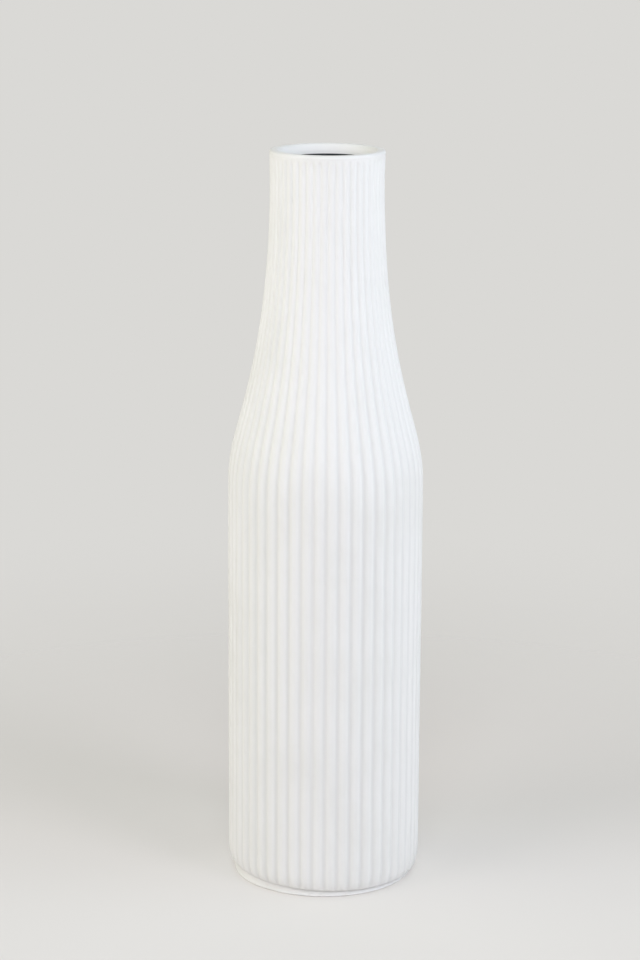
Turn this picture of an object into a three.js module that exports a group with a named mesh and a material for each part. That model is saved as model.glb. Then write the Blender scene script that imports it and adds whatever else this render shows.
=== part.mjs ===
import * as THREE from 'three';

// A tall bottle-shaped floor vase with 48 soft flutes, cast in white clay composite.
// Millimetres, +Z up. The origin is on the floor under the middle of the body, and -Y is the front.

// The film of adhesive between two bonded faces
const bondGap = 0.3;

// Fluted shell: heights are stacked from the base disc up, radii are over the ribs
const shellReveal = 6;
const bodyRadius = 105.5;
const bodyHeight = 433.45;
const shoulderHeight = 72.5;
const shoulderInset = 12.5;
const shoulderSlope = 0.26;
const shoulderStartPull = 32;
const shoulderEndPull = 22;
const neckSweepHeight = 254;
const neckSweepStartPull = 41;
const neckSweepEndPull = 139;
const neckRadius = 60.7;
const collarHeight = 28.45;
const collarFlare = 0.5;
const wallThickness = 9.5;

// Lower edge of the shell: drawn in and rounded under to a narrow flat ring, and cast a little out of
// level, lower on the right
const edgeHeight = 24;
const edgeFlat = 2;
const edgeStartPull = 4.5;
const edgeEndPull = 17;
const edgeDrop = 3.1;
const edgeDropReach = 52;

// Flutes: soft grooves between rounded ribs. They run out softly below the lip, and in a short round
// at the lower edge.
const fluteCount = 48;
const fluteDepth = 2.6;
const ribShare = 0.2;
const fluteTopRunOut = 8;
const fluteFootRunOut = 7;
const topRunOutShares = [1, 0.6, 0.25, 0];
const stepsPerFlute = 5;

// Lip ring, flush with the neck outside and hanging inside it by a short spigot
const lipBand = 4;
const lipOuterRounding = 3;
const lipInnerRounding = 6;
const spigotLength = 6.6;
const spigotWall = 2.8;
const spigotClearance = 0.4;

// Base disc, bonded into the open bottom of the shell. Its rim stands lower than the shallow recess
// that takes the pads.
const discThickness = 18;
const discRimWidth = 8;
const discRimDrop = 0.9;
const discEdgeRadius = 0.8;
const discTopBevel = 1;

// Bead of filler that seals the joint in the corner over the base disc
const beadWidth = 13;
const beadHeight = 11;
const beadFeather = 0.8;
const beadHollow = 0.3;

// Felt pads in the recess under the base disc
const padCount = 4;
const padRadius = 12.5;
const padThickness = 1;
const padInset = 10.5;

// Heights and radii that follow from the sizes above
const discBottom = padThickness + bondGap;
const discRimBottom = discBottom - discRimDrop;
const discTop = discBottom + discThickness;
const shellBottom = discBottom + shellReveal;
const bodyTop = shellBottom + bodyHeight;
const shoulderTop = bodyTop + shoulderHeight;
const neckSweepTop = shoulderTop + neckSweepHeight;
const shellTop = neckSweepTop + collarHeight;
const lipBottom = shellTop + bondGap;
const lipTop = lipBottom + lipBand;
const boreRadius = bodyRadius - wallThickness;
const edgeRadius = boreRadius + edgeFlat;
const shoulderRadius = bodyRadius - shoulderInset;
const discRadius = boreRadius - bondGap;
const padCircleRadius = discRadius - padInset - padRadius;
const collarTopRadius = neckRadius + collarFlare;
const spigotRadius = collarTopRadius - wallThickness - spigotClearance;
const lipInnerRadius = spigotRadius - spigotWall;

// Faces round the circle on the plain pieces
const ringColumns = 64;
const boreColumns = 48;
const padColumns = 24;

function clayWhite() {
  return new THREE.MeshStandardMaterial({ color: 0xf1f0ec, roughness: 0.72, metalness: 0 });
}

function baseWhite() {
  return new THREE.MeshStandardMaterial({ color: 0xe9e8e4, roughness: 0.8, metalness: 0 });
}

function greyFiller() {
  return new THREE.MeshStandardMaterial({ color: 0x8d8a84, roughness: 0.9, metalness: 0 });
}

function paleFelt() {
  return new THREE.MeshStandardMaterial({ color: 0xb9b5ac, roughness: 1, metalness: 0 });
}

// A ring of points round the axis. Radius and height are functions of the angle.
function ring(columns, radiusAt, heightAt) {
  const points = [];
  for (let column = 0; column < columns; column += 1) {
    const angle = (column / columns) * 2 * Math.PI;
    const radius = radiusAt(angle);
    points.push(new THREE.Vector3(radius * Math.cos(angle), radius * Math.sin(angle), heightAt(angle)));
  }
  return points;
}

// Fills the band between two rings with triangles, also where one ring has more points.
function stitch(index, lower, upper) {
  let near = 0;
  let far = 0;
  while (near < lower.count || far < upper.count) {
    const nearPoint = lower.first + (near % lower.count);
    const farPoint = upper.first + (far % upper.count);
    if ((near + 0.5) / lower.count < (far + 0.5) / upper.count) {
      near += 1;
      index.push(nearPoint, lower.first + (near % lower.count), farPoint);
    } else {
      far += 1;
      index.push(nearPoint, upper.first + (far % upper.count), farPoint);
    }
  }
}

// One closed skin through a loop of rings: up the outside, over, and down the inside.
function closedLoft(rings) {
  const positions = [];
  const bands = [];
  for (const points of rings) {
    bands.push({ first: positions.length / 3, count: points.length });
    for (const point of points) {
      positions.push(point.x, point.y, point.z);
    }
  }
  const index = [];
  bands.forEach((band, place) => stitch(index, band, bands[(place + 1) % bands.length]));
  const geometry = new THREE.BufferGeometry();
  geometry.setAttribute('position', new THREE.Float32BufferAttribute(positions, 3));
  geometry.setIndex(index);
  geometry.computeVertexNormals();
  return geometry;
}

// A profile of (radius, height) points turned round the vertical axis.
function turned(profile, columns) {
  return new THREE.LatheGeometry(profile, columns).rotateX(Math.PI / 2);
}

// Points on a round corner with its middle at (radius, height), from one angle to another.
function corner(radius, height, size, fromDegrees, toDegrees, steps) {
  const start = THREE.MathUtils.degToRad(fromDegrees);
  const end = THREE.MathUtils.degToRad(toDegrees);
  return new THREE.EllipseCurve(radius, height, size, size, start, end, end < start).getPoints(steps);
}

// The lower edge: it leaves the flat ring level, turns up in a tight round, and draws out slowly to
// the straight body.
function edgeCurve() {
  const start = new THREE.Vector2(edgeRadius, shellBottom);
  const end = new THREE.Vector2(bodyRadius, shellBottom + edgeHeight);
  const startHandle = new THREE.Vector2(edgeRadius + edgeStartPull, shellBottom);
  const endHandle = new THREE.Vector2(bodyRadius, shellBottom + edgeHeight - edgeEndPull);
  return new THREE.CubicBezierCurve(start, startHandle, endHandle, end);
}

// The convex shoulder, from the straight body to its steepest point.
function shoulderCurve() {
  const lean = new THREE.Vector2(-shoulderSlope, 1).normalize();
  const start = new THREE.Vector2(bodyRadius, bodyTop);
  const end = new THREE.Vector2(shoulderRadius, shoulderTop);
  const startHandle = new THREE.Vector2(bodyRadius, bodyTop + shoulderStartPull);
  const endHandle = end.clone().addScaledVector(lean, -shoulderEndPull);
  return new THREE.CubicBezierCurve(start, startHandle, endHandle, end);
}

// The long concave sweep, from the shoulder's steepest point to the nearly upright neck.
function neckCurve() {
  const lean = new THREE.Vector2(-shoulderSlope, 1).normalize();
  const start = new THREE.Vector2(shoulderRadius, shoulderTop);
  const end = new THREE.Vector2(neckRadius, neckSweepTop);
  const startHandle = start.clone().addScaledVector(lean, neckSweepStartPull);
  const endHandle = new THREE.Vector2(neckRadius, neckSweepTop - neckSweepEndPull);
  return new THREE.CubicBezierCurve(start, startHandle, endHandle, end);
}

// A point on the straight collar above the sweep, which flares slightly towards the lip.
function collarPoint(height) {
  const share = (height - neckSweepTop) / collarHeight;
  return new THREE.Vector2(THREE.MathUtils.lerp(neckRadius, collarTopRadius, share), height);
}

// The outside of the shell over the ribs, from the lower edge to the lip.
function outerProfile() {
  return [
    ...edgeCurve().getPoints(3),
    new THREE.Vector2(bodyRadius, shellBottom + edgeDropReach),
    ...shoulderCurve().getPoints(5),
    ...neckCurve().getPoints(6).slice(1),
    ...topRunOutShares.map((share) => collarPoint(shellTop - fluteTopRunOut * share)),
  ];
}

// The same curve moved inwards by the wall, as points on the inside from the lip down.
function innerProfile() {
  const points = [new THREE.Vector2(boreRadius, shellBottom)];
  points.push(new THREE.Vector2(boreRadius, shellBottom + edgeDropReach));
  for (const [curve, steps] of [[shoulderCurve(), 4], [neckCurve(), 5]]) {
    for (let step = 0; step < steps; step += 1) {
      const along = step / steps;
      const tangent = curve.getTangent(along);
      const inwards = new THREE.Vector2(-tangent.y, tangent.x);
      points.push(curve.getPoint(along).addScaledVector(inwards, wallThickness));
    }
  }
  points.push(new THREE.Vector2(neckRadius - wallThickness, neckSweepTop));
  points.push(new THREE.Vector2(collarTopRadius - wallThickness, shellTop));
  return points.reverse();
}

// How much the out-of-level lower edge moves a point up or down: fully at the edge, not at all
// above its reach.
function edgeShift(angle, height) {
  const share = THREE.MathUtils.clamp(1 - (height - shellBottom) / edgeDropReach, 0, 1);
  return -edgeDrop * share * Math.cos(angle);
}

// Share of the full depth that a flute has at a height: a round run-out at the foot, and a soft one
// that starts and ends level below the lip.
function fluteShare(height) {
  const fromFoot = THREE.MathUtils.clamp((height - shellBottom) / fluteFootRunOut, 0, 1);
  const belowLip = THREE.MathUtils.smoothstep(shellTop - height, 0, fluteTopRunOut);
  return Math.sqrt(1 - (1 - fromFoot) ** 2) * belowLip;
}

// Depth of the groove at an angle, as a share: one wave of a cosine between the tops of two ribs. A
// groove's middle faces the front.
function hollow(angle) {
  const turn = (angle / (2 * Math.PI)) * fluteCount;
  const fromMiddle = (2 * Math.abs(turn - Math.round(turn))) / (1 - ribShare);
  return (1 + Math.cos(Math.PI * Math.min(fromMiddle, 1))) / 2;
}

// The flutes keep their proportions, so they get shallower and narrower as the neck draws in.
function flutedRing(point) {
  const depth = fluteDepth * (point.x / bodyRadius) * fluteShare(point.y);
  return ring(
    fluteCount * stepsPerFlute,
    (angle) => point.x - depth * hollow(angle),
    (angle) => point.y + edgeShift(angle, point.y),
  );
}

function plainRing(point) {
  return ring(boreColumns, () => point.x, (angle) => point.y + edgeShift(angle, point.y));
}

function flutedShell() {
  return closedLoft([...outerProfile().map(flutedRing), ...innerProfile().map(plainRing)]);
}

// The ring's band stands on the shell, and its spigot hangs in the neck as the white inner skirt.
function lipRing() {
  const spigotBottom = lipBottom - spigotLength;
  const outerMiddle = collarTopRadius - lipOuterRounding;
  const innerMiddle = lipInnerRadius + lipInnerRounding;
  const profile = [
    new THREE.Vector2(lipInnerRadius, spigotBottom),
    new THREE.Vector2(spigotRadius, spigotBottom),
    new THREE.Vector2(spigotRadius, lipBottom),
    new THREE.Vector2(collarTopRadius, lipBottom),
    ...corner(outerMiddle, lipTop - lipOuterRounding, lipOuterRounding, 0, 90, 3),
    ...corner(innerMiddle, lipTop - lipInnerRounding, lipInnerRounding, 90, 180, 3),
    new THREE.Vector2(lipInnerRadius, spigotBottom),
  ];
  return turned(profile, ringColumns);
}

// The disc, with the recess in its underside inside the rim.
function baseDisc() {
  const recessRadius = discRadius - discRimWidth;
  const profile = [
    new THREE.Vector2(0, discBottom),
    new THREE.Vector2(recessRadius, discBottom),
    new THREE.Vector2(recessRadius, discRimBottom),
    ...corner(discRadius - discEdgeRadius, discRimBottom + discEdgeRadius, discEdgeRadius, -90, 0, 2),
    new THREE.Vector2(discRadius, discTop - discTopBevel),
    new THREE.Vector2(discRadius - discTopBevel, discTop),
    new THREE.Vector2(0, discTop),
  ];
  return turned(profile, ringColumns);
}

// The filler fills the corner between the wall and the disc's top, in a hollow fillet.
function jointBead() {
  const wallSide = boreRadius - bondGap;
  const onDisc = discTop + bondGap;
  const profile = [
    new THREE.Vector2(wallSide - beadWidth, onDisc),
    new THREE.Vector2(wallSide, onDisc),
    new THREE.Vector2(wallSide, onDisc + beadHeight),
    new THREE.Vector2(wallSide - beadFeather, onDisc + beadHeight),
    new THREE.Vector2(wallSide - beadWidth * beadHollow, onDisc + beadHeight * beadHollow),
    new THREE.Vector2(wallSide - beadWidth, onDisc + beadFeather),
    new THREE.Vector2(wallSide - beadWidth, onDisc),
  ];
  return turned(profile, ringColumns);
}

function feltPad() {
  return new THREE.CylinderGeometry(padRadius, padRadius, padThickness, padColumns).rotateX(Math.PI / 2);
}

function named(name, geometry, material) {
  const mesh = new THREE.Mesh(geometry, material);
  mesh.name = name;
  return mesh;
}

const group = new THREE.Group();
group.add(named('fluted_shell', flutedShell(), clayWhite()));
group.add(named('lip_ring', lipRing(), clayWhite()));
group.add(named('base_joint_bead', jointBead(), greyFiller()));
group.add(named('base_disc', baseDisc(), baseWhite()));
for (let pad = 0; pad < padCount; pad += 1) {
  const angle = ((pad + 0.5) / padCount) * 2 * Math.PI;
  const mesh = named(`floor_pad_${pad + 1}`, feltPad(), paleFelt());
  mesh.position.set(padCircleRadius * Math.cos(angle), padCircleRadius * Math.sin(angle), padThickness / 2);
  group.add(mesh);
}

export default group;
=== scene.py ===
import bpy
import numpy as np
from mathutils import Matrix


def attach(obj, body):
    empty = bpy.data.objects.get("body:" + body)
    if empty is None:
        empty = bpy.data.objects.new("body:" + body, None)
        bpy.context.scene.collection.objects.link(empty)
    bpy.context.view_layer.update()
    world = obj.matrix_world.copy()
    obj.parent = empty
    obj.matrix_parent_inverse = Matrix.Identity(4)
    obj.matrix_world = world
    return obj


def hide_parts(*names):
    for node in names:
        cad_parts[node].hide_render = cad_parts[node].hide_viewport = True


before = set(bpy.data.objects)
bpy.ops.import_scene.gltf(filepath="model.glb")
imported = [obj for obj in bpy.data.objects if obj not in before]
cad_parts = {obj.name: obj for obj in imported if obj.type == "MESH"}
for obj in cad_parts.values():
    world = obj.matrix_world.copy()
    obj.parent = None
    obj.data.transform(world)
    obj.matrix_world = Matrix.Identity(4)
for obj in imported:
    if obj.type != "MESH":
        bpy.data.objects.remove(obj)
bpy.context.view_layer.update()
MM = 0.001

# The camera. A long lens, a little under three metres off and above the rim, looks down at the
# vase, so the mouth opens as a thin oval and the foot as a deeper one. Unturned, a camera or a lamp
# looks straight down, and a quarter turn brings it level.
FOCAL_LENGTH_MM = 103.8
SENSOR_MM = 36.0
QUARTER_TURN = 90
CAMERA_DISTANCE = 2.908
CAMERA_HEIGHT = 1.150
CAMERA_STEP_ASIDE = -0.4
CAMERA_TILT = 13.68
CAMERA_TURN = -0.119
CAMERA_ROLL = 0.311


def turn(axis, degrees):
    """A turn about one axis, by the right-hand rule."""
    return Matrix.Rotation(np.radians(degrees), 4, axis)


long_lens = bpy.data.cameras.new("long_lens")
long_lens.lens = FOCAL_LENGTH_MM
long_lens.sensor_width = SENSOR_MM
camera = bpy.data.objects.new("camera", long_lens)
camera.matrix_world = (
    turn("Z", CAMERA_STEP_ASIDE)
    @ Matrix.Translation((0, -CAMERA_DISTANCE, CAMERA_HEIGHT))
    @ turn("Z", -CAMERA_TURN)
    @ turn("X", QUARTER_TURN - CAMERA_TILT)
    @ turn("Z", CAMERA_ROLL)
)
bpy.context.scene.collection.objects.link(camera)
bpy.context.scene.camera = camera

# The lip ring. A plain ring of cast clay composite with a short spigot, bonded into the top of
# the neck and sprayed with it in matt white. Only its soft edges tell it from the fluted neck, and
# the spigot shows as a white skirt inside the mouth.
LIP_COLUMNS = 288
LIP_CORNER_POINTS = 4
LIP_FLAT_POINTS = 4
LIP_OUTER_POINTS = 14
LIP_INNER_POINTS = 24
LIP_BORE_POINTS = 6
LIP_TOP = 800 * MM
LIP_BOTTOM = 796 * MM
LIP_OUTER_RADIUS = 61.2 * MM
LIP_INNER_RADIUS = 48.5 * MM
LIP_OUTER_ROUNDING = 3 * MM
LIP_INNER_ROUNDING = 6 * MM
LIP_INNER_ROUNDING_DEPTH = 10 * MM
LIP_INNER_ROUNDING_END = 166
SPIGOT_RADIUS = 51.3 * MM
SPIGOT_BOTTOM = 789.4 * MM
BROKEN_EDGE = 0.25 * MM
LIP_UNEVENNESS = 0.12 * MM
LIP_WAVES_ROUND = (3, 5, 8)
LIP_WAVE_LIFT = 160 * MM
WAVE_STAGGER = 1.7
SHARP_CORNER = 50
PAINT_COLOUR = "#F1F2F2"
PAINT_DUSTY_COLOUR = "#EDEEED"
PAINT_GRAIN = 2.4 * MM
PAINT_GRAIN_HEIGHT = 0.05 * MM
PAINT_ROUGHNESS_LOW = 0.58
PAINT_ROUGHNESS_HIGH = 0.74
SANDING_WAVE = 22 * MM
SANDING_WAVE_HEIGHT = 0.09 * MM
DUST_CLOUD = 75 * MM
DUST_START = 0.4
DUST_END = 0.75
# From this depth of groove on, the paint darkens as painted shade.
GROOVE_SHADE_START = 0.3
# A Mix node's two colours and its mixed colour go by number: their names also stand for other kinds.
FIRST_COLOUR = 6
SECOND_COLOUR = 7
MIXED_COLOUR = 2


def arc(middle, size, start, end, count):
    """Points on a round corner of a section: the middle plus size times the cosine and the sine of
    an angle that goes in equal steps from start to end, in degrees. A corner that is taller than it
    is wide has two sizes, one across for the cosine and one up for the sine."""
    across, up = np.broadcast_to(size, 2)
    angle = np.radians(np.linspace(start, end, count))
    return np.stack([middle[0] + across * np.cos(angle), middle[1] + up * np.sin(angle)], 1)


def straight(start, end, count):
    """Points in equal steps between two ends of a section, without the ends themselves."""
    share = np.linspace(0, 1, count + 2)[1:-1, None]
    return np.asarray(start) * (1 - share) + np.asarray(end) * share


def columns_round(count):
    """Angles in equal steps round the axis, as one row of the grid."""
    return np.arange(count)[None, :] * 2 * np.pi / count


def round_the_axis(radius, angle, height):
    """A grid of points with rows along the section and columns round the axis: x is the radius
    times the cosine of the angle, y the radius times its sine, and z the height."""
    radius, angle, height = np.broadcast_arrays(radius, angle, height)
    return np.stack([radius * np.cos(angle), radius * np.sin(angle), height], -1)


def slow_waves(angle, height, size, waves_round, lift):
    """Hand-made unevenness between 0 and size: sine waves, each with a whole number of waves round
    the axis and one, two or more per lift of height, staggered, averaged and moved up to start at 0."""
    waves = [
        np.sin(count * angle + (place + 1) * 2 * np.pi * height / lift + WAVE_STAGGER * place)
        for place, count in enumerate(waves_round)
    ]
    return size * (0.5 + 0.5 * sum(waves) / len(waves))


def skin(name, grid, poles=None):
    """A closed piece over a grid of points, smooth but for its sharp corners. Each face joins four
    neighbours, and the columns meet round the axis. The rows meet too, so that they close the
    section, unless there are two poles, points on the axis that a fan of triangles joins to the
    first and the last row."""
    rows, columns = grid.shape[:2]
    index = np.arange(rows * columns).reshape(rows, columns)
    here, above = (index, np.roll(index, -1, 0)) if poles is None else (index[:-1], index[1:])
    quads = np.stack([here, np.roll(here, -1, 1), np.roll(above, -1, 1), above], -1)
    faces = quads.reshape(-1, 4).tolist()
    points = grid.reshape(-1, 3)
    if poles is not None:
        low = np.full(columns, len(points))
        faces += np.stack([low, np.roll(index[0], -1), index[0]], -1).tolist()
        faces += np.stack([low + 1, index[-1], np.roll(index[-1], -1)], -1).tolist()
        points = np.vstack([points, poles])
    mesh = bpy.data.meshes.new(name)
    mesh.from_pydata(points.tolist(), [], faces)
    mesh.polygons.foreach_set("use_smooth", np.ones(len(mesh.polygons), bool))
    mesh.set_sharp_from_angle(angle=np.radians(SHARP_CORNER))
    piece = bpy.data.objects.new(name, mesh)
    bpy.context.scene.collection.objects.link(piece)
    return piece


def linear(hex_colour):
    """An sRGB hex value as the linear colour that a shader takes."""
    code = np.array([int(hex_colour[place : place + 2], 16) for place in (1, 3, 5)]) / 255
    value = np.where(code <= 0.04045, code / 12.92, ((code + 0.055) / 1.055) ** 2.4)
    return (*value.tolist(), 1.0)


def add(tree, kind, inputs=None, **settings):
    """Adds one node with its settings, and gives each named or numbered input its value, or a link
    where the value is another node's output."""
    node = tree.nodes.new(kind)
    for name, value in settings.items():
        setattr(node, name, value)
    for name, value in (inputs or {}).items():
        if isinstance(value, bpy.types.NodeSocket):
            tree.links.new(value, node.inputs[name])
        else:
            node.inputs[name].default_value = value
    return node


def new_material(name):
    """An empty node material: the material, its node tree, its surface shader and an output that
    gives the piece's own coordinates in metres."""
    material = bpy.data.materials.new(name)
    material.use_nodes = True
    tree = material.node_tree
    place = add(tree, "ShaderNodeTexCoord").outputs["Object"]
    return material, tree, tree.nodes["Principled BSDF"], place


def matt_white_spray_paint(name, groove_shade_colour=None):
    """Matt emulsion, sprayed over sanded clay composite. It scatters light almost evenly, with a
    faint broad sheen. The orange peel is really about 1 mm across and is drawn coarser, so that it
    shows. Slow waves are left by the sanding, and dust greys it in soft clouds. In hollows, where a
    piece has them, the colour tends to a darker one given for them: painted shade in the grooves."""
    material, tree, surface, place = new_material(name)
    grain = add(tree, "ShaderNodeTexNoise", {"Vector": place, "Scale": 1 / PAINT_GRAIN, "Detail": 3.0})
    wave = add(tree, "ShaderNodeTexNoise", {"Vector": place, "Scale": 1 / SANDING_WAVE, "Detail": 1.0})
    cloud = add(tree, "ShaderNodeTexNoise", {"Vector": place, "Scale": 1 / DUST_CLOUD, "Detail": 4.0})
    dust = add(
        tree,
        "ShaderNodeMapRange",
        {"Value": cloud.outputs["Fac"], "From Min": DUST_START, "From Max": DUST_END},
        interpolation_type="SMOOTHSTEP",
    )
    colour = add(
        tree,
        "ShaderNodeMix",
        {
            0: dust.outputs["Result"],
            FIRST_COLOUR: linear(PAINT_COLOUR),
            SECOND_COLOUR: linear(PAINT_DUSTY_COLOUR),
        },
        data_type="RGBA",
    )
    coat = colour.outputs[MIXED_COLOUR]
    # Painted shade in the grooves: the deeper the groove, the more the colour tends to the darker one.
    if groove_shade_colour:
        hollow = add(tree, "ShaderNodeAttribute", attribute_name="hollow")
        groove_shade = add(
            tree,
            "ShaderNodeMapRange",
            {"Value": hollow.outputs["Fac"], "From Min": GROOVE_SHADE_START},
            interpolation_type="SMOOTHSTEP",
        )
        groove_shaded = add(
            tree,
            "ShaderNodeMix",
            {0: groove_shade.outputs["Result"], FIRST_COLOUR: coat, SECOND_COLOUR: linear(groove_shade_colour)},
            data_type="RGBA",
        )
        coat = groove_shaded.outputs[MIXED_COLOUR]
    sheen = add(
        tree,
        "ShaderNodeMapRange",
        {
            "Value": grain.outputs["Fac"],
            "To Min": PAINT_ROUGHNESS_LOW,
            "To Max": PAINT_ROUGHNESS_HIGH,
        },
    )
    waved = add(
        tree,
        "ShaderNodeBump",
        {"Height": wave.outputs["Fac"], "Strength": 1.0, "Distance": SANDING_WAVE_HEIGHT},
    )
    peel = add(
        tree,
        "ShaderNodeBump",
        {
            "Height": grain.outputs["Fac"],
            "Normal": waved.outputs["Normal"],
            "Strength": 1.0,
            "Distance": PAINT_GRAIN_HEIGHT,
        },
    )
    tree.links.new(coat, surface.inputs["Base Color"])
    tree.links.new(sheen.outputs["Result"], surface.inputs["Roughness"])
    tree.links.new(peel.outputs["Normal"], surface.inputs["Normal"])
    return material


inner_foot = (LIP_INNER_RADIUS + BROKEN_EDGE, SPIGOT_BOTTOM + BROKEN_EDGE)
outer_foot = (SPIGOT_RADIUS - BROKEN_EDGE, SPIGOT_BOTTOM + BROKEN_EDGE)
outer_shoulder = (LIP_OUTER_RADIUS - LIP_OUTER_ROUNDING, LIP_TOP - LIP_OUTER_ROUNDING)
inner_shoulder = (LIP_INNER_RADIUS + LIP_INNER_ROUNDING, LIP_TOP - LIP_INNER_ROUNDING_DEPTH)
inner_corner = arc(
    inner_shoulder,
    (LIP_INNER_ROUNDING, LIP_INNER_ROUNDING_DEPTH),
    90,
    LIP_INNER_ROUNDING_END,
    LIP_INNER_POINTS,
)
lip_section = np.vstack(
    [
        arc(inner_foot, BROKEN_EDGE, 180, 270, LIP_CORNER_POINTS),
        arc(outer_foot, BROKEN_EDGE, -90, 0, LIP_CORNER_POINTS),
        [(SPIGOT_RADIUS, LIP_BOTTOM)],
        straight((SPIGOT_RADIUS, LIP_BOTTOM), (LIP_OUTER_RADIUS, LIP_BOTTOM), LIP_FLAT_POINTS),
        [(LIP_OUTER_RADIUS, LIP_BOTTOM)],
        arc(outer_shoulder, LIP_OUTER_ROUNDING, 0, 90, LIP_OUTER_POINTS),
        straight((outer_shoulder[0], LIP_TOP), (inner_shoulder[0], LIP_TOP), LIP_FLAT_POINTS),
        inner_corner,
        straight(inner_corner[-1], (LIP_INNER_RADIUS, inner_foot[1]), LIP_BORE_POINTS),
    ]
)
lip_angle = columns_round(LIP_COLUMNS)
lip_radius = lip_section[:, :1]
lip_height = lip_section[:, 1:]
lip_dip = slow_waves(lip_angle, lip_height, LIP_UNEVENNESS, LIP_WAVES_ROUND, LIP_WAVE_LIFT)
lip_dip = lip_dip * (lip_height >= LIP_TOP - LIP_OUTER_ROUNDING)
lip = skin("lip_ring_painted", round_the_axis(lip_radius, lip_angle, lip_height - lip_dip))
lip.data.materials.append(matt_white_spray_paint("matt_white_spray_paint"))
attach(lip, "root")
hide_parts("lip_ring")

# The fluted shell. One bottle-shaped casting of clay composite, made round a core in a ribbed
# mould: 48 soft grooves run up it between rounded ribs, and narrow with the neck. The outside is
# sprayed matt white, and the inside is left as raw grey clay.
FLUTE_COUNT = 48
FLUTE_DEPTH = 2.6 * MM
FLUTE_DEPTH_SCATTER = 0.1
FLUTE_SCATTER_STEP = 2.4
RIB_SHARE = 0.2
COLUMNS_PER_FLUTE = 16
EDGE_POINTS = 16
BODY_POINTS = 26
SHOULDER_POINTS = 14
SWEEP_POINTS = 26
NECK_POINTS = 22
BORE_POINTS = 9
BORE_KEEPS_EACH = 3
TOP_RUN_OUT = 8 * MM
FOOT_RUN_OUT = 7 * MM
SHELL_BOTTOM = 7.3 * MM
BODY_RADIUS = 105.5 * MM
BODY_TOP = 440.75 * MM
SHOULDER_RADIUS = 93 * MM
SHOULDER_TOP = 513.25 * MM
SHOULDER_SLOPE = 0.26
SHOULDER_START_PULL = 32 * MM
SHOULDER_END_PULL = 22 * MM
NECK_RADIUS = 60.7 * MM
NECK_SWEEP_TOP = 767.25 * MM
NECK_SWEEP_START_PULL = 41 * MM
NECK_SWEEP_END_PULL = 139 * MM
SHELL_TOP = 795.99 * MM
WALL = 9.5 * MM
EDGE_HEIGHT = 24 * MM
EDGE_RADIUS = 98 * MM
EDGE_START_PULL = 4.2 * MM
EDGE_START_LIFT = 1 * MM
EDGE_END_PULL = 17 * MM
EDGE_DROP = 3.1 * MM
EDGE_DROP_REACH = 52 * MM
WALL_UNEVENNESS = 0.3 * MM
WALL_WAVES_ROUND = (2, 3, 7, 11)
WALL_WAVE_LIFT = 410 * MM
# The darker colour that the paint tends to in the grooves' middles, as painted shade.
GROOVE_SHADE_COLOUR = "#E8E9E9"
RAW_CLAY_COLOUR = "#55585B"
RAW_CLAY_PALE_COLOUR = "#6E7072"
CLAY_GRAIN = 1.8 * MM
CLAY_LUMP = 14 * MM
CLAY_GRAIN_HEIGHT = 0.35 * MM
CLAY_LUMP_HEIGHT = 0.9 * MM
CLAY_ROUGHNESS = 0.92
FINES_START = 0.35
FINES_END = 0.7


def sweep(start, start_handle, end_handle, end, count):
    """Points on a cubic Bezier curve between two ends, each end pulled along by its handle."""
    share = np.linspace(0, 1, count)[:, None]
    start, start_handle, end_handle, end = map(np.asarray, (start, start_handle, end_handle, end))
    return (
        (1 - share) ** 3 * start
        + 3 * (1 - share) ** 2 * share * start_handle
        + 3 * (1 - share) * share**2 * end_handle
        + share**3 * end
    )


def moved_inwards(curve, distance):
    """The same curve at a distance on its inner side: each point goes square to the curve's
    direction there, which is taken from its neighbours."""
    along = np.gradient(curve, axis=0)
    along = along / np.linalg.norm(along, axis=1, keepdims=True)
    return curve + distance * np.stack([-along[:, 1], along[:, 0]], 1)


def eased(share):
    """A share from 0 to 1 that starts and ends gently: three times its square less twice its cube."""
    return share**2 * (3 - 2 * share)


def hollow(angle):
    """How deep the flute is at an angle, from 0 on a rib to 1 in the groove's middle: half of one
    plus a cosine, one wave of it across the groove. A groove's middle faces the front."""
    flutes_round = angle * FLUTE_COUNT / (2 * np.pi)
    from_middle = 2 * np.abs(flutes_round - np.rint(flutes_round)) / (1 - RIB_SHARE)
    return 0.5 + 0.5 * np.cos(np.pi * np.minimum(from_middle, 1))


def flute_share(height):
    """The share of its depth that a flute has at a height: at the foot it lifts out as a quarter of a
    circle, and below the lip it lifts out gently at both ends."""
    from_foot = np.clip((height - SHELL_BOTTOM) / FOOT_RUN_OUT, 0, 1)
    below_lip = np.clip((SHELL_TOP - height) / TOP_RUN_OUT, 0, 1)
    return np.sqrt(1 - (1 - from_foot) ** 2) * eased(below_lip)


def edge_shift(angle, height):
    """How far the lower edge, cast a little out of level, moves a point: down on the right and up on
    the left by the cosine of the angle, and less with height until it is level."""
    share = np.clip(1 - (height - SHELL_BOTTOM) / EDGE_DROP_REACH, 0, 1)
    return -EDGE_DROP * share * np.cos(angle)


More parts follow.
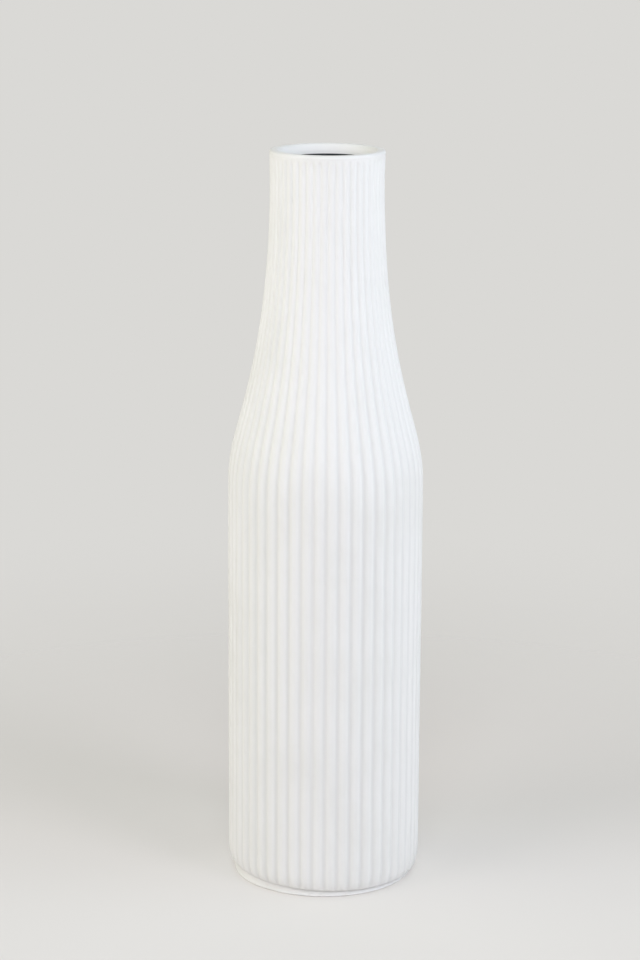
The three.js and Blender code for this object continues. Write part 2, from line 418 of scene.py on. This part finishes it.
def raw_cast_clay():
    """The inside of the casting, clay composite as it came off the core: dark grey, rough, lumpy
    from the slurry and paler where the fines have settled. The grain is drawn coarser than the real
    sand, which is under 0.5 mm."""
    material, tree, surface, place = new_material("raw_cast_clay")
    grain = add(tree, "ShaderNodeTexNoise", {"Vector": place, "Scale": 1 / CLAY_GRAIN, "Detail": 4.0})
    lump = add(tree, "ShaderNodeTexNoise", {"Vector": place, "Scale": 1 / CLAY_LUMP, "Detail": 3.0})
    fines = add(
        tree,
        "ShaderNodeMapRange",
        {"Value": lump.outputs["Fac"], "From Min": FINES_START, "From Max": FINES_END},
        interpolation_type="SMOOTHSTEP",
    )
    colour = add(
        tree,
        "ShaderNodeMix",
        {
            0: fines.outputs["Result"],
            FIRST_COLOUR: linear(RAW_CLAY_COLOUR),
            SECOND_COLOUR: linear(RAW_CLAY_PALE_COLOUR),
        },
        data_type="RGBA",
    )
    lumpy = add(
        tree,
        "ShaderNodeBump",
        {"Height": lump.outputs["Fac"], "Strength": 1.0, "Distance": CLAY_LUMP_HEIGHT},
    )
    sandy = add(
        tree,
        "ShaderNodeBump",
        {
            "Height": grain.outputs["Fac"],
            "Normal": lumpy.outputs["Normal"],
            "Strength": 1.0,
            "Distance": CLAY_GRAIN_HEIGHT,
        },
    )
    surface.inputs["Roughness"].default_value = CLAY_ROUGHNESS
    tree.links.new(colour.outputs[MIXED_COLOUR], surface.inputs["Base Color"])
    tree.links.new(sandy.outputs["Normal"], surface.inputs["Normal"])
    return material


lean = np.array([-SHOULDER_SLOPE, 1]) / np.hypot(SHOULDER_SLOPE, 1)
edge_top = SHELL_BOTTOM + EDGE_HEIGHT
edge = sweep(
    (EDGE_RADIUS, SHELL_BOTTOM),
    (EDGE_RADIUS + EDGE_START_PULL, SHELL_BOTTOM + EDGE_START_LIFT),
    (BODY_RADIUS, edge_top - EDGE_END_PULL),
    (BODY_RADIUS, edge_top),
    EDGE_POINTS,
)
steepest = np.array([SHOULDER_RADIUS, SHOULDER_TOP])
shoulder = sweep(
    (BODY_RADIUS, BODY_TOP),
    (BODY_RADIUS, BODY_TOP + SHOULDER_START_PULL),
    steepest - lean * SHOULDER_END_PULL,
    steepest,
    SHOULDER_POINTS,
)
neck = sweep(
    steepest,
    steepest + lean * NECK_SWEEP_START_PULL,
    (NECK_RADIUS, NECK_SWEEP_TOP - NECK_SWEEP_END_PULL),
    (NECK_RADIUS, NECK_SWEEP_TOP),
    SWEEP_POINTS,
)
bottle = np.vstack([shoulder, neck[1:]])
outside = np.vstack(
    [
        edge,
        straight((BODY_RADIUS, edge_top), (BODY_RADIUS, BODY_TOP), BODY_POINTS),
        bottle,
        straight((NECK_RADIUS, NECK_SWEEP_TOP), (LIP_OUTER_RADIUS, SHELL_TOP), NECK_POINTS),
        [(LIP_OUTER_RADIUS, SHELL_TOP)],
    ]
)
bore_foot = (BODY_RADIUS - WALL, SHELL_BOTTOM)
bore_shoulder = moved_inwards(bottle, WALL)[::BORE_KEEPS_EACH]
inside = np.vstack(
    [
        [bore_foot],
        straight(bore_foot, bore_shoulder[0], BORE_POINTS),
        bore_shoulder,
        [(LIP_OUTER_RADIUS - WALL, SHELL_TOP)],
    ]
)[::-1]
shell_section = np.vstack([outside, inside])
shell_angle = columns_round(FLUTE_COUNT * COLUMNS_PER_FLUTE)
shell_height = shell_section[:, 1:]
is_outside = (np.arange(len(shell_section)) < len(outside))[:, None]
flute_number = np.rint(shell_angle * FLUTE_COUNT / (2 * np.pi)) % FLUTE_COUNT
scatter = 0.5 + 0.5 * np.sin(FLUTE_SCATTER_STEP * flute_number)
narrowing = shell_section[:, :1] / BODY_RADIUS
flute = hollow(shell_angle) * flute_share(shell_height) * narrowing * is_outside
cut = flute * FLUTE_DEPTH * (1 - FLUTE_DEPTH_SCATTER * scatter)
uneven = slow_waves(shell_angle, shell_height, WALL_UNEVENNESS, WALL_WAVES_ROUND, WALL_WAVE_LIFT)
uneven = uneven * np.clip((SHELL_TOP - shell_height) / (2 * TOP_RUN_OUT), 0, 1) * is_outside
shell_grid = round_the_axis(
    shell_section[:, :1] - cut - uneven,
    shell_angle,
    shell_height + edge_shift(shell_angle, shell_height),
)
shell = skin("fluted_shell_painted", shell_grid)
# The groove depth goes with the shell as its hollow attribute, which darkens the paint in the grooves as
# painted shade.
shell.data.attributes.new("hollow", "FLOAT", "POINT").data.foreach_set("value", flute.ravel())
shell.data.materials.append(matt_white_spray_paint("matt_white_spray_paint_on_flutes", GROOVE_SHADE_COLOUR))
shell.data.materials.append(raw_cast_clay())
bare_rows = np.arange(len(shell_section)) >= len(outside) - 1
shell.data.polygons.foreach_set("material_index", np.repeat(bare_rows, shell_angle.size).astype(np.int32))
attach(shell, "root")
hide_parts("fluted_shell")

# The base disc. A thick round plate of the same clay composite, bonded into the open bottom of the
# shell and sprayed with it. Its rim stands below the shell as a low flaring foot, filled out flush
# on the left so that the joint fades there. A shallow recess in the underside takes the floor pads.
DISC_COLUMNS = 256
DISC_FACE_POINTS = 8
DISC_EDGE_POINTS = 8
DISC_FLARE_POINTS = 8
DISC_RIM_POINTS = 4
DISC_BONDED_POINTS = 8
DISC_TOP_POINTS = 6
DISC_RADIUS = 96.4 * MM
DISC_BONDED_RADIUS = 95.5 * MM
DISC_RIM_TOP = 7.0 * MM
DISC_FOOT_FLARE = 0.6 * MM
DISC_FOOT_HEIGHT = 3.4 * MM
DISC_FILLED_OUT = 1.3 * MM
DISC_FILLED_FROM = 0.6
DISC_FILLED_TO = 0.78
DISC_BOTTOM = 0.4 * MM
DISC_RECESS_TOP = 1.3 * MM
DISC_RECESS_RADIUS = 87.7 * MM
DISC_TOP = 19.3 * MM
DISC_EDGE_ROUNDING = 0.8 * MM
DISC_TOP_ROUNDING = 1 * MM
SCUFF_COLOUR = "#DCD9D2"
SCUFF_LENGTH = 9 * MM
SCUFF_REACH = DISC_TOP / 6
SCUFF_MORE_LOW = 0.16
SCUFF_START = 0.58
SCUFF_END = 0.85
SCUFF_STRENGTH = 0.4


def rim_fill(angle):
    """How far the rim is filled out at an angle. The share grows with minus the cosine of the angle,
    from none where the filling starts to all of it where it is whole, and is eased."""
    way = (-np.cos(angle) - DISC_FILLED_FROM) / (DISC_FILLED_TO - DISC_FILLED_FROM)
    return DISC_FILLED_OUT * eased(np.clip(way, 0, 1))


def scuffed_white_paint():
    """The same matt emulsion on the foot, where it is thinly sprayed. Moving the vase over the floor has
    rubbed it a little, so the paint is greyer in short streaks, most of all near the bottom."""
    material = matt_white_spray_paint("scuffed_matt_white_paint")
    tree = material.node_tree
    surface = tree.nodes["Principled BSDF"]
    paint = surface.inputs["Base Color"].links[0].from_socket
    place = add(tree, "ShaderNodeTexCoord").outputs["Object"]
    streak = add(tree, "ShaderNodeTexNoise", {"Vector": place, "Scale": 1 / SCUFF_LENGTH, "Detail": 6.0})
    height = add(tree, "ShaderNodeSeparateXYZ", {"Vector": place})
    low = add(
        tree,
        "ShaderNodeMapRange",
        {"Value": height.outputs["Z"], "From Max": SCUFF_REACH, "To Min": SCUFF_MORE_LOW, "To Max": 0.0},
    )
    reach = add(
        tree,
        "ShaderNodeMath",
        {0: streak.outputs["Fac"], 1: low.outputs["Result"]},
        operation="ADD",
    )
    rubbed = add(
        tree,
        "ShaderNodeMapRange",
        {
            "Value": reach.outputs["Value"],
            "From Min": SCUFF_START,
            "From Max": SCUFF_END,
            "To Max": SCUFF_STRENGTH,
        },
        interpolation_type="SMOOTHSTEP",
    )
    colour = add(
        tree,
        "ShaderNodeMix",
        {0: rubbed.outputs["Result"], FIRST_COLOUR: paint, SECOND_COLOUR: linear(SCUFF_COLOUR)},
        data_type="RGBA",
    )
    tree.links.new(colour.outputs[MIXED_COLOUR], surface.inputs["Base Color"])
    return material


disc_low = (DISC_RADIUS + DISC_FOOT_FLARE - DISC_EDGE_ROUNDING, DISC_BOTTOM + DISC_EDGE_ROUNDING)
# The flare narrows upwards, by the square of the share of its height that is left above.
foot_share = np.linspace(0, 1, DISC_FLARE_POINTS + 1)[1:, None]
foot_flare = np.hstack(
    [
        DISC_RADIUS + DISC_FOOT_FLARE * (1 - foot_share) ** 2,
        disc_low[1] + (DISC_FOOT_HEIGHT - disc_low[1]) * foot_share,
    ]
)
disc_high = (DISC_BONDED_RADIUS - DISC_TOP_ROUNDING, DISC_TOP - DISC_TOP_ROUNDING)
underside = np.vstack(
    [
        straight((0, DISC_RECESS_TOP), (DISC_RECESS_RADIUS, DISC_RECESS_TOP), DISC_FACE_POINTS),
        [(DISC_RECESS_RADIUS, DISC_RECESS_TOP), (DISC_RECESS_RADIUS, DISC_BOTTOM)],
    ]
)
rim = np.vstack(
    [
        arc(disc_low, DISC_EDGE_ROUNDING, -90, 0, DISC_EDGE_POINTS),
        foot_flare,
        straight((DISC_RADIUS, DISC_FOOT_HEIGHT), (DISC_RADIUS, DISC_RIM_TOP), DISC_RIM_POINTS),
        [(DISC_RADIUS, DISC_RIM_TOP)],
    ]
)
bonded_low = (DISC_BONDED_RADIUS, DISC_RIM_TOP)
bonded = np.vstack(
    [
        [bonded_low],
        straight(bonded_low, (DISC_BONDED_RADIUS, disc_high[1]), DISC_BONDED_POINTS),
        arc(disc_high, DISC_TOP_ROUNDING, 0, 90, DISC_TOP_POINTS),
        straight((disc_high[0], DISC_TOP), (0, DISC_TOP), DISC_FACE_POINTS),
    ]
)
disc_section = np.vstack([underside, rim, bonded])
disc_angle = columns_round(DISC_COLUMNS)
is_rim = np.repeat([0, 1, 0], [len(underside), len(rim), len(bonded)])[:, None]
# The rim's top keeps along the shell's lower edge, and the rows below and above it follow by a share
# that falls to nothing in equal steps.
follows_edge = np.interp(disc_section[:, 1:], [DISC_FOOT_HEIGHT, DISC_RIM_TOP, disc_high[1]], [0, 1, 0])
disc_grid = round_the_axis(
    disc_section[:, :1] + is_rim * rim_fill(disc_angle),
    disc_angle,
    disc_section[:, 1:] + follows_edge * edge_shift(disc_angle, SHELL_BOTTOM),
)
disc = skin("base_disc_painted", disc_grid, [(0, 0, DISC_RECESS_TOP), (0, 0, DISC_TOP)])
disc.data.materials.append(scuffed_white_paint())
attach(disc, "root")
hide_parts("base_disc")

# The bead at the base. Grey filler, pressed by hand into the corner between the shell and the base
# disc from above, and wiped to a hollow fillet, so it is lumpy. It never shows outside.
BEAD_COLUMNS = 240
BEAD_FLAT_POINTS = 4
BEAD_FILLET_POINTS = 9
WALL_SIDE = 95.7 * MM
BEAD_ON_DISC = 19.6 * MM
BEAD_WIDTH = 13 * MM
BEAD_HEIGHT = 11 * MM
BEAD_FEATHER = 0.8 * MM
BEAD_HOLLOWNESS = 2.2
BEAD_UNEVENNESS = 0.6 * MM
BEAD_WAVES_ROUND = (5, 13, 29)
BEAD_WAVE_LIFT = 40 * MM
FILLER_COLOUR = "#8D8A84"
FILLER_PALE_COLOUR = "#A19E97"
FILLER_LUMP = 5 * MM
FILLER_LUMP_HEIGHT = 0.8 * MM
FILLER_ROUGHNESS = 0.95


def trowelled_filler():
    """Mineral filler smeared with a finger: mid grey and dead matt, with small lumps and drag marks
    that catch paler dust on their tops."""
    material, tree, surface, place = new_material("trowelled_filler")
    lump = add(tree, "ShaderNodeTexNoise", {"Vector": place, "Scale": 1 / FILLER_LUMP, "Detail": 5.0})
    colour = add(
        tree,
        "ShaderNodeMix",
        {
            0: lump.outputs["Fac"],
            FIRST_COLOUR: linear(FILLER_COLOUR),
            SECOND_COLOUR: linear(FILLER_PALE_COLOUR),
        },
        data_type="RGBA",
    )
    lumpy = add(
        tree,
        "ShaderNodeBump",
        {"Height": lump.outputs["Fac"], "Strength": 1.0, "Distance": FILLER_LUMP_HEIGHT},
    )
    surface.inputs["Roughness"].default_value = FILLER_ROUGHNESS
    tree.links.new(colour.outputs[MIXED_COLOUR], surface.inputs["Base Color"])
    tree.links.new(lumpy.outputs["Normal"], surface.inputs["Normal"])
    return material


bead_top = BEAD_ON_DISC + BEAD_HEIGHT
bead_toe = WALL_SIDE - BEAD_WIDTH
# The fillet goes in from the wall in equal steps and down by a power of the way that is left.
fillet_share = np.linspace(0, 1, BEAD_FILLET_POINTS)[:, None]
fillet_rise = (1 - fillet_share) ** BEAD_HOLLOWNESS
fillet = np.hstack(
    [
        WALL_SIDE - BEAD_FEATHER + (bead_toe - WALL_SIDE + BEAD_FEATHER) * fillet_share,
        BEAD_ON_DISC + BEAD_FEATHER + (BEAD_HEIGHT - BEAD_FEATHER) * fillet_rise,
    ]
)
bead_section = np.vstack(
    [
        straight((bead_toe, BEAD_ON_DISC), (WALL_SIDE, BEAD_ON_DISC), BEAD_FLAT_POINTS),
        [(WALL_SIDE, BEAD_ON_DISC), (WALL_SIDE, bead_top)],
        fillet,
        [(bead_toe, BEAD_ON_DISC)],
    ]
)
is_fillet = np.zeros((len(bead_section), 1))
is_fillet[-len(fillet) : -2] = 1
bead_angle = columns_round(BEAD_COLUMNS)
bead_height = bead_section[:, 1:]
bead_lumps = slow_waves(bead_angle, bead_height, BEAD_UNEVENNESS, BEAD_WAVES_ROUND, BEAD_WAVE_LIFT)
bead_grid = round_the_axis(bead_section[:, :1], bead_angle, bead_height - is_fillet * bead_lumps)
bead = skin("joint_bead_smeared", bead_grid)
bead.data.materials.append(trowelled_filler())
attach(bead, "root")
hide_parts("base_joint_bead")

# The floor pads. Four round pads punched from pressed wool felt, self-adhesive, stuck under the base
# disc so that the clay doesn't scratch the floor. Their punched edges are a little fuzzy.
PAD_COUNT = 4
PAD_COLUMNS = 72
PAD_FACE_POINTS = 3
PAD_CORNER_POINTS = 5
PAD_RADIUS = 12.5 * MM
PAD_THICKNESS = 1 * MM
PAD_CIRCLE_RADIUS = 72.7 * MM
PAD_EDGE_ROUNDING = 0.3 * MM
PAD_FUZZ = 0.25 * MM
PAD_FUZZ_WAVES_ROUND = (9, 14, 23)
PAD_FUZZ_WAVE_LIFT = 8 * MM
FELT_COLOUR = "#B9B5AC"
FELT_DARK_COLOUR = "#A29E94"
FELT_FIBRE = 0.9 * MM
FELT_FIBRE_HEIGHT = 0.3 * MM
FELT_FIBRE_CURL = 1.2
FELT_ROUGHNESS = 0.97
FELT_FUZZ_SHEEN = 0.3
FELT_FUZZ_ROUGHNESS = 0.6


def pressed_wool_felt():
    """Pressed wool felt: pale grey fibres of mixed tone, lying every way, with a soft fuzz that
    brightens at a low angle. The fibres are drawn at 0.9 mm, coarser than real wool."""
    material, tree, surface, place = new_material("pressed_wool_felt")
    fibre = add(
        tree,
        "ShaderNodeTexNoise",
        {"Vector": place, "Scale": 1 / FELT_FIBRE, "Detail": 5.0, "Distortion": FELT_FIBRE_CURL},
    )
    colour = add(
        tree,
        "ShaderNodeMix",
        {
            0: fibre.outputs["Fac"],
            FIRST_COLOUR: linear(FELT_DARK_COLOUR),
            SECOND_COLOUR: linear(FELT_COLOUR),
        },
        data_type="RGBA",
    )
    fuzz = add(
        tree,
        "ShaderNodeBump",
        {"Height": fibre.outputs["Fac"], "Strength": 1.0, "Distance": FELT_FIBRE_HEIGHT},
    )
    surface.inputs["Roughness"].default_value = FELT_ROUGHNESS
    surface.inputs["Sheen Weight"].default_value = FELT_FUZZ_SHEEN
    surface.inputs["Sheen Roughness"].default_value = FELT_FUZZ_ROUGHNESS
    tree.links.new(colour.outputs[MIXED_COLOUR], surface.inputs["Base Color"])
    tree.links.new(fuzz.outputs["Normal"], surface.inputs["Normal"])
    return material


felt = pressed_wool_felt()
pad_flat = PAD_RADIUS - PAD_EDGE_ROUNDING
pad_shoulder = PAD_THICKNESS - PAD_EDGE_ROUNDING
pad_section = np.vstack(
    [
        straight((0, 0), (pad_flat, 0), PAD_FACE_POINTS),
        arc((pad_flat, PAD_EDGE_ROUNDING), PAD_EDGE_ROUNDING, -90, 0, PAD_CORNER_POINTS),
        arc((pad_flat, pad_shoulder), PAD_EDGE_ROUNDING, 0, 90, PAD_CORNER_POINTS),
        straight((pad_flat, PAD_THICKNESS), (0, PAD_THICKNESS), PAD_FACE_POINTS),
    ]
)
pad_angle = columns_round(PAD_COLUMNS)
pad_height = pad_section[:, 1:]
for number in range(PAD_COUNT):
    way = (number + 0.5) / PAD_COUNT * 2 * np.pi
    middle = np.array([PAD_CIRCLE_RADIUS * np.cos(way), PAD_CIRCLE_RADIUS * np.sin(way), 0])
    fuzzy = slow_waves(pad_angle + number, pad_height, PAD_FUZZ, PAD_FUZZ_WAVES_ROUND, PAD_FUZZ_WAVE_LIFT)
    pad_radius = pad_section[:, :1] - fuzzy * (pad_section[:, :1] > PAD_RADIUS / 2)
    pad_grid = round_the_axis(pad_radius, pad_angle, pad_height) + middle
    pad = skin(f"felt_pad_{number + 1}", pad_grid, [middle, middle + (0, 0, PAD_THICKNESS)])
    pad.data.materials.append(felt)
    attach(pad, "root")
    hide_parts(f"floor_pad_{number + 1}")

# The studio floor. One wide sheet of pale matt paper. To the camera a share of it glows as painted
# light, more in front of the vase, which keeps the shadows soft, and it runs into the backdrop with no
# edge.
FLOOR_REACH = 4.5
FLOOR_RINGS = 39
FLOOR_COLUMNS = 96
FLOOR_COLOUR = "#E4DFDC"
FLOOR_SHOWN_COLOUR = "#E7E7E5"
FLOOR_SHOWN_SHARE_FRONT = 0.72
FLOOR_SHOWN_SHARE_BACK = 0.22
FLOOR_SHOWN_FRONT = -0.19
FLOOR_SHOWN_BACK = 0.3
FLOOR_CONTACT_START = 0.088
FLOOR_CONTACT_END = 0.108
FLOOR_FADE_START = 0.0
FLOOR_FADE_END = 1.5
FLOOR_MOTTLE = 0.35
FLOOR_MOTTLE_START = 0.3
FLOOR_MOTTLE_END = 0.7
FLOOR_MOTTLE_LOW = 0.985
FLOOR_ROUGHNESS = 0.9
BACKDROP_COLOUR = "#DAD9D6"


def rays_to_the_camera(tree):
    """1 for the rays that show a surface to the camera, straight, mirrored or through glass, and 0
    for those that carry its light to other surfaces."""
    seen = add(tree, "ShaderNodeLightPath")
    mirrored = add(
        tree,
        "ShaderNodeMath",
        {0: seen.outputs["Is Camera Ray"], 1: seen.outputs["Is Glossy Ray"]},
        operation="MAXIMUM",
    )
    through = add(
        tree,
        "ShaderNodeMath",
        {0: mirrored.outputs["Value"], 1: seen.outputs["Is Transmission Ray"]},
        operation="MAXIMUM",
    )
    return through.outputs["Value"]


def pale_paper_floor():
    """Plain matt background paper: pale warm grey, almost even, with very faint wide clouds. Seen by
    the camera, a share of it glows as painted light, more in front of the vase than behind and none
    under its foot, and it turns clear with the distance from the vase."""
    material, tree, surface, place = new_material("pale_paper_floor")
    mottle = add(tree, "ShaderNodeTexNoise", {"Vector": place, "Scale": 1 / FLOOR_MOTTLE, "Detail": 2.0})
    pale = add(
        tree,
        "ShaderNodeMapRange",
        {
            "Value": mottle.outputs["Fac"],
            "From Min": FLOOR_MOTTLE_START,
            "From Max": FLOOR_MOTTLE_END,
            "To Min": FLOOR_MOTTLE_LOW,
        },
    )
    colour = add(
        tree,
        "ShaderNodeMix",
        {0: 1.0, FIRST_COLOUR: linear(FLOOR_COLOUR), SECOND_COLOUR: pale.outputs["Result"]},
        data_type="RGBA",
        blend_type="MULTIPLY",
    )
    shown = rays_to_the_camera(tree)
    way_back = add(tree, "ShaderNodeSeparateXYZ", {"Vector": place})
    # Painted light: the share that glows falls from the front of the vase to its back.
    share = add(
        tree,
        "ShaderNodeMapRange",
        {
            "Value": way_back.outputs["Y"],
            "From Min": FLOOR_SHOWN_FRONT,
            "From Max": FLOOR_SHOWN_BACK,
            "To Min": FLOOR_SHOWN_SHARE_FRONT,
            "To Max": FLOOR_SHOWN_SHARE_BACK,
        },
        interpolation_type="SMOOTHSTEP",
    )
    distance = add(tree, "ShaderNodeVectorMath", {0: place}, operation="LENGTH")
    clear_of_foot = add(
        tree,
        "ShaderNodeMapRange",
        {
            "Value": distance.outputs["Value"],
            "From Min": FLOOR_CONTACT_START,
            "From Max": FLOOR_CONTACT_END,
            "To Max": share.outputs["Result"],
        },
        interpolation_type="SMOOTHSTEP",
    )
    glowing = add(
        tree,
        "ShaderNodeMath",
        {0: shown, 1: clear_of_foot.outputs["Result"]},
        operation="MULTIPLY",
    )
    glow = add(tree, "ShaderNodeEmission", {"Color": linear(FLOOR_SHOWN_COLOUR), "Strength": 1.0})
    paper = add(
        tree,
        "ShaderNodeMixShader",
        {0: glowing.outputs["Value"], 1: surface.outputs[0], 2: glow.outputs[0]},
    )
    fade = add(
        tree,
        "ShaderNodeMapRange",
        {"Value": distance.outputs["Value"], "From Min": FLOOR_FADE_START, "From Max": FLOOR_FADE_END},
        interpolation_type="SMOOTHSTEP",
    )
    clearing = add(
        tree,
        "ShaderNodeMath",
        {0: fade.outputs["Result"], 1: shown},
        operation="MULTIPLY",
    )
    clear = add(tree, "ShaderNodeBsdfTransparent")
    thinned = add(
        tree,
        "ShaderNodeMixShader",
        {0: clearing.outputs["Value"], 1: paper.outputs[0], 2: clear.outputs[0]},
    )
    surface.inputs["Roughness"].default_value = FLOOR_ROUGHNESS
    tree.links.new(colour.outputs[MIXED_COLOUR], surface.inputs["Base Color"])
    tree.links.new(thinned.outputs[0], tree.nodes["Material Output"].inputs["Surface"])
    return material


floor_radius = np.linspace(0, FLOOR_REACH, FLOOR_RINGS + 1)[1:, None]
floor_grid = round_the_axis(floor_radius, columns_round(FLOOR_COLUMNS), 0.0)
floor_points = np.vstack([floor_grid.reshape(-1, 3), [(0, 0, 0)]])
floor_index = np.arange(FLOOR_RINGS * FLOOR_COLUMNS).reshape(-1, FLOOR_COLUMNS)
floor_next = np.roll(floor_index, -1, 1)
floor_corners = [floor_index[:-1], floor_index[1:], floor_next[1:], floor_next[:-1]]
floor_quads = np.stack(floor_corners, -1).reshape(-1, 4)
floor_middle = np.full(FLOOR_COLUMNS, len(floor_points) - 1)
floor_fan = np.stack([floor_middle, floor_index[0], floor_next[0]], -1)
floor_mesh = bpy.data.meshes.new("studio_floor")
floor_mesh.from_pydata(floor_points.tolist(), [], floor_quads.tolist() + floor_fan.tolist())
floor = bpy.data.objects.new("studio_floor", floor_mesh)
bpy.context.scene.collection.objects.link(floor)
floor.data.materials.append(pale_paper_floor())

# The light. Six soft boxes stand round the vase, and the gaps between them draw the flutes. Each has
# its way round from the front and its tilt above level in degrees, its size in metres and its power
# in watts. The camera sees the room as a plain pale backdrop.
SOFT_BOXES = {
    "soft_box_left_behind": {"way": -100, "tilt": 29, "size": 2.6, "power": 30.5, "colour": "#FDFFE3"},
    "soft_box_left": {"way": -58, "tilt": 29, "size": 2.1, "power": 45, "colour": "#FFF7F5"},
    "soft_box_front": {"way": -2, "tilt": 32, "size": 1.35, "power": 33, "colour": "#F6FFFF"},
    "soft_box_right": {"way": 45.5, "tilt": 29, "size": 1.35, "power": 39, "colour": "#F9F3FD"},
    "soft_box_far_right": {"way": 92, "tilt": 29, "size": 3.2, "power": 48.5, "colour": "#EEFBFF"},
    "soft_box_back": {"way": 172, "tilt": 24, "size": 3.2, "power": 17, "colour": "#FFF8F0"},
}
BOX_DISTANCE = 3.4
AIM_HEIGHT = 0.4
ROOM_GLOW = 0.03
ROOM_COLOUR = "#E9F0FF"

for name, box in SOFT_BOXES.items():
    light = bpy.data.lights.new(name, "AREA")
    light.shape = "DISK"
    light.size = box["size"]
    light.energy = box["power"]
    light.color = linear(box["colour"])[:3]
    soft_box = bpy.data.objects.new(name, light)
    soft_box.matrix_world = (
        Matrix.Translation((0, 0, AIM_HEIGHT))
        @ turn("Z", box["way"])
        @ turn("X", QUARTER_TURN - box["tilt"])
        @ Matrix.Translation((0, 0, BOX_DISTANCE))
    )
    bpy.context.scene.collection.objects.link(soft_box)

room = bpy.data.worlds.new("white_room")
room.use_nodes = True
bpy.context.scene.world = room
room_tree = room.node_tree
glow = room_tree.nodes["Background"]
glow.inputs["Color"].default_value = linear(ROOM_COLOUR)
glow.inputs["Strength"].default_value = ROOM_GLOW
backdrop = add(room_tree, "ShaderNodeBackground", {"Color": linear(BACKDROP_COLOUR), "Strength": 1.0})
room_light = add(
    room_tree,
    "ShaderNodeMixShader",
    {0: rays_to_the_camera(room_tree), 1: glow.outputs[0], 2: backdrop.outputs[0]},
)
room_tree.links.new(room_light.outputs[0], room_tree.nodes["World Output"].inputs["Surface"])
bpy.context.scene.view_settings.view_transform = "Standard"
